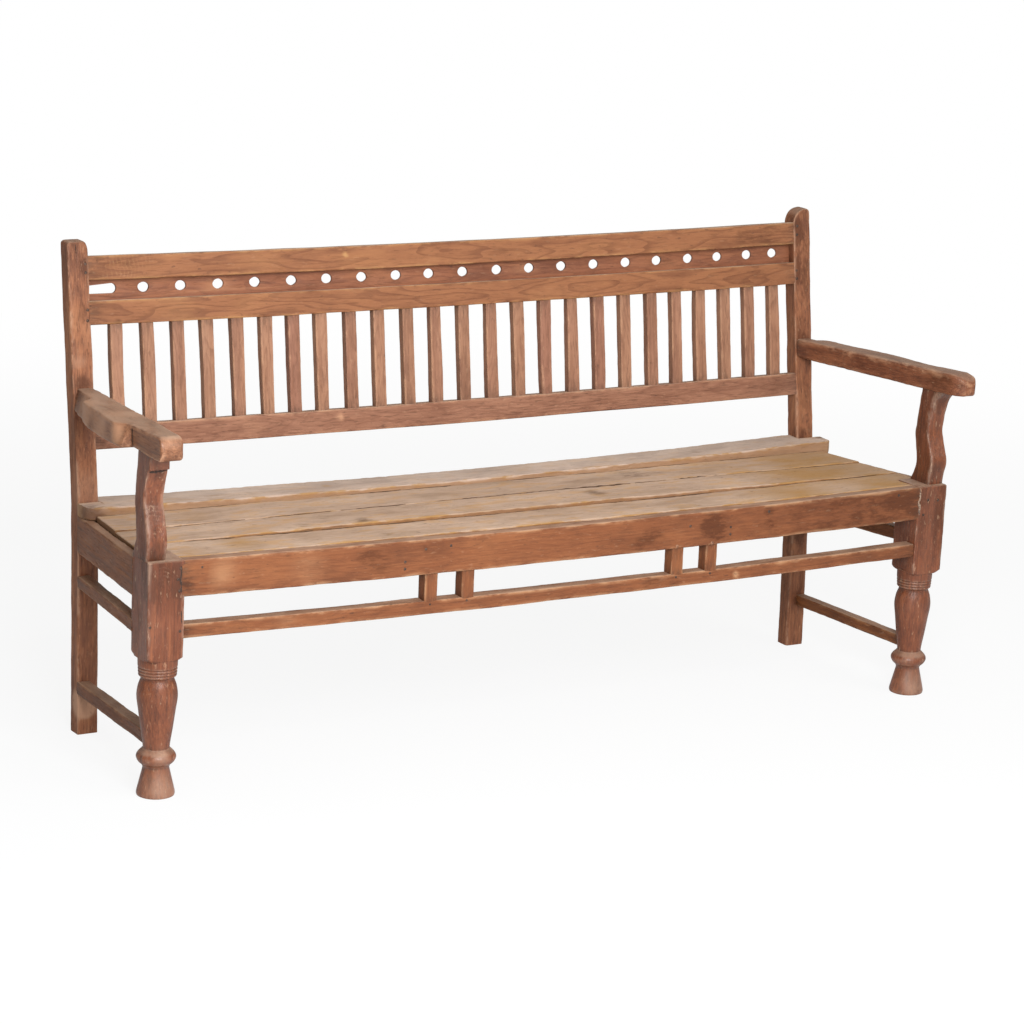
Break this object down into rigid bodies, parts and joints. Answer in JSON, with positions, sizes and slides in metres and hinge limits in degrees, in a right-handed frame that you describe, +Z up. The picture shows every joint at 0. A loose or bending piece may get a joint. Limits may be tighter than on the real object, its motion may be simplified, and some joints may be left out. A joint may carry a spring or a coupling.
{
  "type": "deacons bench",
  "caption": "Long wooden settle with slatted, perforated back, open scrolled arms, turned front legs, plank seat and stretchers all round.",
  "frame": {"origin": "on the floor under the centre of the bench's bounding box", "axes": "+X along the bench to the right of someone facing its front, +Y from front to back, +Z up"},
  "size_m": [1.884, 0.6122, 0.991],
  "materials": {
    "seat_wood": "weathered tan planks, the finish worn off, dry and dull",
    "back_wood": "reddish-brown rails and panel with clear grain, worn satin",
    "slat_wood": "reddish-brown slats, each a little different, worn satin",
    "frame_wood": "dark reddish-brown, rubbed, with a soft shine on the turnings and arms",
    "apron_wood": "orange-brown, scuffed, with dark nail marks",
    "hidden_wood": "bare, dull brown under the seat"
  },
  "bodies": {
    "root": {"back_post_left": "frame_wood", "back_post_right": "frame_wood", "front_leg_left": "frame_wood", "front_leg_right": "frame_wood", "arm_left": "frame_wood", "arm_right": "frame_wood", "side_apron_left": "frame_wood", "side_apron_right": "frame_wood", "upper_side_stretcher_left": "frame_wood", "upper_side_stretcher_right": "frame_wood", "lower_side_stretcher_left": "frame_wood", "lower_side_stretcher_right": "frame_wood", "seat_ledger_left": "hidden_wood", "seat_ledger_right": "hidden_wood", "top_rail": "back_wood", "mid_rail": "back_wood", "lower_back_rail": "back_wood", "perforated_panel": "back_wood", "slat_01": "slat_wood", "slat_02": "slat_wood", "slat_03": "slat_wood", "slat_04": "slat_wood", "slat_05": "slat_wood", "slat_06": "slat_wood", "slat_07": "slat_wood", "slat_08": "slat_wood", "slat_09": "slat_wood", "slat_10": "slat_wood", "slat_11": "slat_wood", "slat_12": "slat_wood", "slat_13": "slat_wood", "slat_14": "slat_wood", "slat_15": "slat_wood", "slat_16": "slat_wood", "slat_17": "slat_wood", "slat_18": "slat_wood", "slat_19": "slat_wood", "slat_20": "slat_wood", "slat_21": "slat_wood", "slat_22": "slat_wood", "slat_23": "slat_wood", "slat_24": "slat_wood", "slat_25": "slat_wood", "front_apron": "apron_wood", "front_stretcher": "apron_wood", "rear_apron": "hidden_wood", "short_baluster_1": "apron_wood", "short_baluster_2": "apron_wood", "short_baluster_3": "apron_wood", "short_baluster_4": "apron_wood", "seat_board_front": "seat_wood", "seat_board_second": "seat_wood", "seat_board_third": "seat_wood", "seat_board_rear": "seat_wood", "cross_bearer_left": "hidden_wood", "cross_bearer_right": "hidden_wood"}
  },
  "joints": []
}
